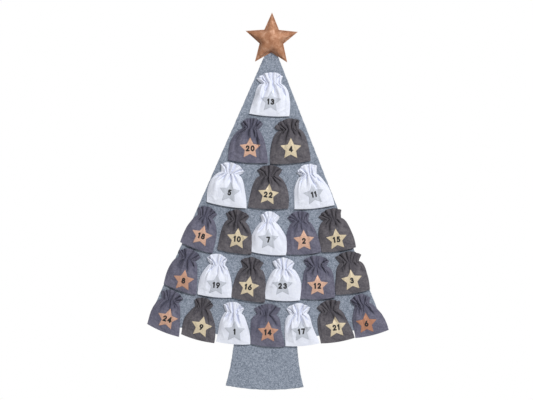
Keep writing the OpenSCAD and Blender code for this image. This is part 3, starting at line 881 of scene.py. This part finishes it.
# How each bag hangs in its row: hem turned in degrees, hem moved to the right and raised in mm,
# ruffle turned in degrees, its mouth moved to the right in mm, and how full ruffle and belly are.
HANG = {
    13: (0, -2, 1, -9, -4, 1.08, 1.0), 20: (-1, 3, -2, -3, 5, 0.9, 1.0),
    4: (-2, -1, -2, -13, -2, 1.08, 1.05), 5: (-1, 6, 0.5, 7, 2, 1.03, 1.05),
    22: (0, 0, 0, -2, 2, 1.03, 1.05), 11: (0, 6, -2, -12, 0, 0.88, 1.0),
    18: (5, -3, 0, 5, 0, 0.9, 1.0), 10: (0, 5, 2, 0, 0, 1.03, 1.06), 7: (3, 4, 2, 2, 2, 0.86, 1.12),
    2: (-1, 5, 1, -7, -3, 0.98, 1.04), 15: (0, 5, 2, -9, -2, 1.05, 1.06),
    8: (6, 2, 2.5, 3, 4, 1.02, 1.0), 19: (-2, 2, 1.5, -2, -4, 0.9, 1.04),
    16: (4, -2.5, 0, 2, -1, 1.02, 1.0), 23: (1, -3, 2, 1, -3, 0.97, 1.09),
    12: (1, -3, 1, 4, -3, 1.14, 1.04), 3: (-1, -2, 4.5, 2, -2, 1.14, 1.06),
    24: (5, 5, 4, 3, 0, 1.02, 1.0), 9: (3, 5, 3, 5, 0, 0.87, 1.06), 1: (-2, 6.5, 5, 6, -4, 0.95, 0.98),
    14: (3, 6.5, 4, -2, 3, 1.16, 0.985), 17: (-1, 6.25, 3, 1, 1, 1.05, 0.95),
    21: (0, 6.9, 3, -6, 0, 1.08, 1.03), 6: (0, 5, 3, 7, -5, 0.88, 1.02),
}


def hang(form, belly, twist, sway, raised, tilt, shift, full, round_belly):
    """Gives a settled bag the fullness, the turns and the shifts that it has in its row."""
    form[..., 0] *= 1 + (full - 1) * eased_step(FULL_FROM, NECK_V, UP)
    form[..., 0] *= 1 + (round_belly - 1) * np.sin(math.pi * BELOW)
    form[..., 2] -= HEM_BOW * (BOW_MIDDLE - ACROSS**2) * (1 - eased_step(0, BOW_TALL, UP))
    low = 1 - eased_step(0, SWING_TALL, UP)
    turn = -math.radians(twist) * low
    x, z = form[..., 0].copy(), form[..., 2].copy()
    form[..., 0] = x * np.cos(turn) + sway / 1000 * low
    form[..., 2] = z + x * np.sin(turn) + raised / 1000 * low
    high = eased_step(*RUFFLE_EASE, UP)
    turn = -math.radians(tilt) * high
    x, z = form[..., 0].copy(), form[..., 2] - NECK_V
    form[..., 0] = x * np.cos(turn) - z * np.sin(turn) + shift / 1000 * high
    top = BAG_H - RIM_CLEAR + (RIM_PROUD + RIM_CLEAR) * IN_FRONT * (1 - ACROSS**2)
    form[..., 2] = np.minimum(NECK_V + x * np.sin(turn) + z * np.cos(turn), top)
    form[..., 1] = np.clip(form[..., 1], -belly, -BACK_CLEAR)


def painted(mesh, name, values):
    """Keeps a value for each point of a mesh, which its material reads."""
    kept = mesh.attributes.new(name, "FLOAT", "POINT")
    kept.data.foreach_set("value", np.asarray(values, np.float32).ravel())


from_seam = eased_step(0, SEAM_WIDE, 1 - np.abs(ACROSS)) * eased_step(0, HEM_TALL, UP)
seam_room = SEAM_THIN + (1 - SEAM_THIN) * from_seam
bag_cloth, bag_skin, rim_lines = {}, {}, {}
for day, local in sorted(layout.items()):
    number, turned_over = shape_of[day]
    width, belly = bag_size[day]
    form, fold_shade = settled_shapes[number].copy(), fold_shades[number]
    form[0, FRONT_COLS + 1:] = form[0, bag_index[0, FRONT_COLS + 1:]]
    if turned_over:
        form, fold_shade = form[:, MIRRORED] * np.array([-1, 1, 1]), fold_shade[:, MIRRORED]
    form[..., 0] *= width / bag_size[by_width[2 * number]][0]
    hang(form, belly, *HANG[day])
    skin = form.reshape(-1, 3)
    bag_skin[day] = BVHTree.FromPolygons([Vector(p) for p in skin], [tuple(map(int, f)) for f in bag_faces])
    rim = form[RIM_STITCH_ROW].copy()
    rim[:, 1] += np.where(IN_FRONT[RIM_STITCH_ROW], -RIM_THREAD_R, RIM_THREAD_R)
    rim_lines[day] = [tuple(local @ Vector(p)) for p in rim]
    shell = from_points(f"bag cloth {day}", skin, bag_faces)
    # The cloth keeps its painted fold shade, for its material to read
    painted(shell, "fold_shade", fold_shade)
    used = bmesh.new()
    used.from_mesh(shell)
    cloth_uv = used.loops.layers.uv.new("cloth")
    girth = ACROSS * width / 2 * CLOTH_UV + BACK_UV_SHIFT * BEHIND
    for f in used.faces:
        for loop in f.loops:
            loop[cloth_uv].uv = (girth.flat[loop.vert.index], UP.flat[loop.vert.index] * CLOTH_UV)
    loose = [v for v in used.verts if not v.link_faces]
    openness = np.delete(seam_room.ravel(), [v.index for v in loose])
    bmesh.ops.delete(used, geom=loose, context="VERTS")
    used.to_mesh(shell)
    used.free()
    shell.transform(local)
    name = f"bag_{day:02d}"
    bag = new_piece(name + "_cloth", shell, cottons[slot_of[name]])
    thickened(bag, CLOTH_T).vertex_group = bag.vertex_groups.new(name="open cloth").name
    for v in shell.vertices:
        bag.vertex_groups[0].add([v.index], float(openness[v.index]), "REPLACE")
    applied(bag)
    bag.data.set_sharp_from_angle(angle=SHARP_EDGE)
    whole = bmesh.new()
    whole.from_mesh(bag.data)
    loop_rings = []
    for x, r in LOOP_RINGS:
        turns = np.arange(LOOP_SIDES) * 2 * math.pi / LOOP_SIDES
        around = [(x, -HINGE_D - r * math.cos(a), HINGE_V + r * math.sin(a)) for a in turns]
        loop_rings.append([whole.verts.new(local @ Vector(p)) for p in around])
    for here, there in zip(loop_rings, loop_rings[1:] + loop_rings[:1]):
        for face in band(here, there):
            whole.faces.new(face).smooth = True
    whole.to_mesh(bag.data)
    whole.free()
    bag_cloth[day] = bag
    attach(bag, f"day_{day:02d}")
    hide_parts(name)

# The rim stitches: the line of machine stitching that holds each mouth's turned hem.
# The thread is dyed like the cloth, so the line shows only from near by.
RIM_PITCH, RIM_STITCH = 0.003, 0.0022
rim_threads = {slot: thread_stuff(slot.replace("cotton", "thread").replace("_", " "), shades[1])
               for slot, shades in COTTONS.items()}
for day, line in sorted(rim_lines.items()):
    thread = rim_threads[slot_of[f"bag_{day:02d}"]]
    stitches = new_piece(f"rim_stitches_{day:02d}", stitch_path(f"rim {day}", line), thread)
    grown(stitches, stitching, Pitch=RIM_PITCH, Stitch=RIM_STITCH, Radius=RIM_THREAD_R, Stuff=thread)
    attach(stitches, f"day_{day:02d}")

# The number stars: thin glitter film cut to stars and ironed onto the front of each bag.
# They follow the cloth, and match it: silver on white, copper on plum, gold on slate.
PATCH_R, PATCH_NOTCH_R, PATCH_T, PATCH_CELL = 0.029, 0.0145, 0.0004, 0.0012
PATCH_LIFT, LOOK_FROM = PATCH_T + 0.0001, -0.1
FLAKES_PER_M, SPARKLE_FROM, SPARKLE_METAL = 1500.0, 0.72, 0.7
# Each glitter: its dark and pale flakes, then the deeper colour of painted shade, for stars whose glitter catches
# less light
GLITTERS = {
    "glitter_silver": ((0.50, 0.53, 0.60, 1), (0.60, 0.63, 0.70, 1), (0.42, 0.45, 0.52, 1)),
    "glitter_copper": ((0.55, 0.30, 0.20, 1), (0.76, 0.51, 0.39, 1), (0.40, 0.16, 0.085, 1)),
    "glitter_gold": ((0.58, 0.475, 0.31, 1), (0.78, 0.68, 0.50, 1), (0.44, 0.35, 0.20, 1)),
}

flakes, sizes = node_tree("glitter flakes", dict(Place="Vector", Size="Float"),
                          dict(Flake="Float", Sparkle="Float"))
cells = add_node(flakes, "ShaderNodeTexVoronoi", ("Vector", sizes["Place"]), ("Scale", sizes["Size"]))
facets = add_node(flakes, "ShaderNodeSeparateColor", ("Color", cells.outputs["Color"])).outputs
sparkle = maths(flakes, "GREATER_THAN", facets[0], SPARKLE_FROM)
add_node(flakes, "NodeGroupOutput", (0, facets[1]), (1, sparkle))


def glitter_stuff(name, dark, pale, deep):
    """Glitter film: fine flakes of one metal colour, some of which catch the light, carried on some stars towards
    a deeper colour by painted shade.
    """
    stuff, nodes, shader = new_material(name.replace("_", " "), ("Roughness", 0.5))
    flake = add_node(nodes, "ShaderNodeGroup", ("Place", own_place(nodes)), ("Size", FLAKES_PER_M),
                     node_tree=flakes).outputs
    cast = tinted(nodes, flake["Flake"], dark, pale)
    # Painted shade: on some stars the flakes' colour goes towards the deeper colour, as glitter that catches less
    # light
    glitter_shade = add_node(nodes, "ShaderNodeAttribute", attribute_name="glitter_shade").outputs["Fac"]
    wire(nodes, shader, ("Base Color", tinted(nodes, glitter_shade, cast, deep)),
         ("Metallic", maths(nodes, "MULTIPLY", flake["Sparkle"], SPARKLE_METAL)),
         ("Roughness", ranged(nodes, flake["Flake"], 0.0, 1.0, 0.35, 0.7)),
         ("Normal", bumped(nodes, 0.5, 0.0004, flake["Flake"])))
    return stuff


glitters = {slot: glitter_stuff(slot, *shades) for slot, shades in GLITTERS.items()}


def segment_distance(points, a, b):
    """Distance of points from a straight line between two points."""
    a, b = np.array(a, float), np.array(b, float)
    along = np.clip(((points - a) @ (b - a)) / max((b - a) @ (b - a), 1e-12), 0, 1)
    return np.linalg.norm(points - a - along[..., None] * (b - a), axis=-1)


def cut_out(inside, cell, half_w, half_h):
    """Small faces that fill an outline, which is where the function inside is above zero."""
    xs = np.arange(-math.ceil(half_w / cell), math.ceil(half_w / cell) + 1) * cell
    zs = np.arange(-math.ceil(half_h / cell), math.ceil(half_h / cell) + 1) * cell
    grid = np.stack(np.meshgrid(xs, zs, indexing="ij"), -1)
    value = inside(grid)
    points, faces, known = [], [], {}

    def number(key, p):
        """Number of a point, shared by the faces that meet there."""
        if key not in known:
            known[key] = len(points)
            points.append(p)
        return known[key]

    for i in range(len(xs) - 1):
        for j in range(len(zs) - 1):
            ring = [(i, j), (i + 1, j), (i + 1, j + 1), (i, j + 1)]
            face = []
            for here, there in zip(ring, ring[1:] + ring[:1]):
                a, b = value[here], value[there]
                if a > 0:
                    face.append(number(here, grid[here]))
                if (a > 0) != (b > 0):
                    crossed = grid[here] + (grid[there] - grid[here]) * a / (a - b)
                    face.append(number(frozenset((here, there)), crossed))
            if len(face) > 2:
                faces.append(face)
    return np.array(points), faces


def inside_star(points):
    """How far points lie inside the outline of a number star."""
    ring = star_corners(PATCH_R, PATCH_NOTCH_R)
    distance = np.min([segment_distance(points, a, b) for a, b in zip(ring, ring[1:] + ring[:1])], axis=0)
    angle = np.arctan2(points[..., 0], points[..., 1])
    wedge = np.abs((angle + math.pi / 5) % (2 * math.pi / 5) - math.pi / 5)
    radius = np.linalg.norm(points, axis=-1)
    x, y = radius * np.sin(wedge), radius * np.cos(wedge)
    nx, ny = PATCH_NOTCH_R * math.sin(math.pi / 5), PATCH_NOTCH_R * math.cos(math.pi / 5)
    return np.where((nx * (y - PATCH_R) - (ny - PATCH_R) * x) < 0, distance, -distance)


def placed(points, turn, at):
    """Points of a flat cut, turned and moved to their place on a bag."""
    c, s = math.cos(turn), math.sin(turn)
    return points @ np.array([[c, s], [-s, c]]) + at


def laid_on(points, skin, lift):
    """Depth of points laid on a surface along the line of sight, each lifted off it a little."""
    depth = []
    for x, z in points:
        hit = skin.ray_cast(Vector((x, LOOK_FROM, z)), Vector((0, 1, 0)))[0]
        depth.append(hit.y if hit else np.nan)
    depth = np.array(depth)
    return np.where(np.isnan(depth), np.nanmean(depth), depth) - lift


def film(name, points, depth, faces, local, thick, stuff):
    """A thin film with its front at the given depths."""
    sheet = from_points(name, np.column_stack([points[:, 0], depth, points[:, 1]]), faces)
    sheet.transform(local)
    piece = new_piece(name, sheet, stuff)
    thickened(piece, thick)
    return applied(piece)


# Where each star lies on its bag, in mm to the right of the hem's middle and above it, how far
# it is turned, in degrees, and for the duller ones how much painted shade darkens their glitter.
PATCH_PLACE = {
    13: (0, 37, 0), 20: (5, 34, -5), 4: (1, 34, 3), 5: (8, 36, -2), 22: (-1, 36, 5), 11: (8, 33, -5),
    18: (3, 35, 2), 10: (8, 38, -2), 7: (1, 40, -2), 2: (6, 35, 1), 15: (3, 31, 1), 8: (6, 29, -4),
    19: (3, 32, -2), 16: (-4, 35, 5), 23: (-4, 40, -1), 12: (-2, 35, 3), 3: (-1, 37, 0), 24: (7, 38, 0),
    9: (8, 37, 2), 1: (7, 37, -4), 14: (6, 40, 1), 17: (6, 40, -1), 21: (8, 40, 3), 6: (-3, 35, 9),
}
STAR_GLITTER_SHADE = {8: 0.4, 14: 0.5, 6: 0.8, 24: 0.15, 15: 0.15, 10: 0.1}
star_cut, star_cells = cut_out(inside_star, PATCH_CELL, PATCH_R, PATCH_R)
patch_skin, patch_place = {}, {}
for day, local in sorted(layout.items()):
    *middle, spin = PATCH_PLACE[day]
    patch_place[day] = (-math.radians(spin), np.array(middle) / 1000)
    points = placed(star_cut, *patch_place[day])
    depth = laid_on(points, bag_skin[day], PATCH_LIFT)
    front = [Vector((x, y, z)) for (x, z), y in zip(points, depth)]
    patch_skin[day] = BVHTree.FromPolygons(front, star_cells)
    name = f"number_star_{day:02d}"
    stuff = glitters[slot_of[name]]
    patch = film(f"glitter_star_{day:02d}", points, depth, star_cells, local, PATCH_T, stuff)
    # Painted shade: the duller stars' glitter is darkened as though it caught less light
    painted(patch.data, "glitter_shade", [STAR_GLITTER_SHADE.get(day, 0.0)] * len(patch.data.vertices))
    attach(patch, f"day_{day:02d}")
    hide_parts(name)

# The day numbers: plain bold figures printed in matt black on the glitter.
# Each figure is drawn with a broad round stroke along straight lines and arcs.
FIGURE_H, FIGURE_W, STROKE_R, FIGURE_GAP = 0.0158, 0.0124, 0.00197, 0.0008
INK_T, INK_SHARE, INK_CELL = 0.00012, 0.8, 0.00055
INK, INK_WORN = (0.004, 0.004, 0.005, 1), (0.012, 0.012, 0.014, 1)

ink_stuff, nodes, shader = new_material("black number ink", ("Roughness", 0.7))
worn = noise(nodes, own_place(nodes), 700.0, 2.0)
wire(nodes, shader, ("Base Color", tinted(nodes, worn, INK, INK_WORN)))


def arc(cx, cz, rx, rz, start, end, steps=18):
    """Points of an arc, with angles in degrees counted up from the right."""
    angles = np.radians(np.linspace(start, end, steps))
    return [(cx + rx * math.cos(a), cz + rz * math.sin(a)) for a in angles]


FIGURES = {
    "0": [arc(0, 0, 0.82, 1, 0, 360, 40)],
    "1": [[(-0.42, 0.62), (0.12, 1.1), (0.12, -1.5)]],
    "2": [arc(0, 0.4, 0.72, 0.6, 170, -38) + [(-0.72, -1), (0.85, -1)]],
    "3": [arc(-0.06, 0.48, 0.66, 0.52, 155, -85), arc(-0.04, -0.44, 0.76, 0.56, 88, -155)],
    "4": [[(0.38, -1.5), (0.38, 1.05), (-0.85, -0.5), (0.95, -0.5)]],
    "5": [[(0.66, 1), (-0.4, 1), (-0.58, 0.08)] + arc(-0.06, -0.36, 0.76, 0.64, 128, -150)],
    "6": [arc(0, -0.4, 0.8, 0.6, 0, 360, 40), [(0.42, 1.4), (-0.66, -0.08)]],
    "7": [[(-0.8, 1), (0.7, 1), (-0.35, -1.5)]],
    "8": [arc(0, 0.5, 0.6, 0.5, 0, 360, 36), arc(0, -0.46, 0.76, 0.54, 0, 360, 36)],
    "9": [arc(0, 0.4, 0.8, 0.6, 0, 360, 40), [(-0.42, -1.4), (0.66, 0.08)]],
}
FIGURE_WIDE = {"1": 0.62}


def inside_figure(figure):
    """How far points lie inside a figure's broad stroke."""
    size = np.array([FIGURE_W / 2 - STROKE_R, FIGURE_H / 2 - STROKE_R])
    strokes = [np.array(stroke) * size for stroke in FIGURES[figure]]

    def inside(points):
        """How far points lie inside this one figure."""
        near = np.min([segment_distance(points, a, b) for s in strokes for a, b in zip(s, s[1:])], axis=0)
        return np.minimum(STROKE_R - near, FIGURE_H / 2 - np.abs(points[..., 1]))

    return inside


figure_cuts = {f: cut_out(inside_figure(f), INK_CELL, FIGURE_W / 2 + INK_CELL, FIGURE_H / 2 + INK_CELL)
               for f in FIGURES}
for day, local in sorted(layout.items()):
    figures = str(day)
    widths = [FIGURE_W * FIGURE_WIDE.get(f, 1.0) for f in figures]
    at = -(sum(widths) + FIGURE_GAP * (len(figures) - 1)) / 2
    points, faces = [], []
    for f, wide in zip(figures, widths):
        cut, cells = figure_cuts[f]
        faces += [[k + sum(map(len, points)) for k in cell] for cell in cells]
        points.append(cut + np.array([at + wide / 2, 0]))
        at += wide + FIGURE_GAP
    points = placed(np.concatenate(points), *patch_place[day])
    depth = laid_on(points, patch_skin[day], INK_T)
    printed = film(f"day_number_{day:02d}", points, depth, faces, local, INK_T * INK_SHARE, ink_stuff)
    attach(printed, f"day_{day:02d}")
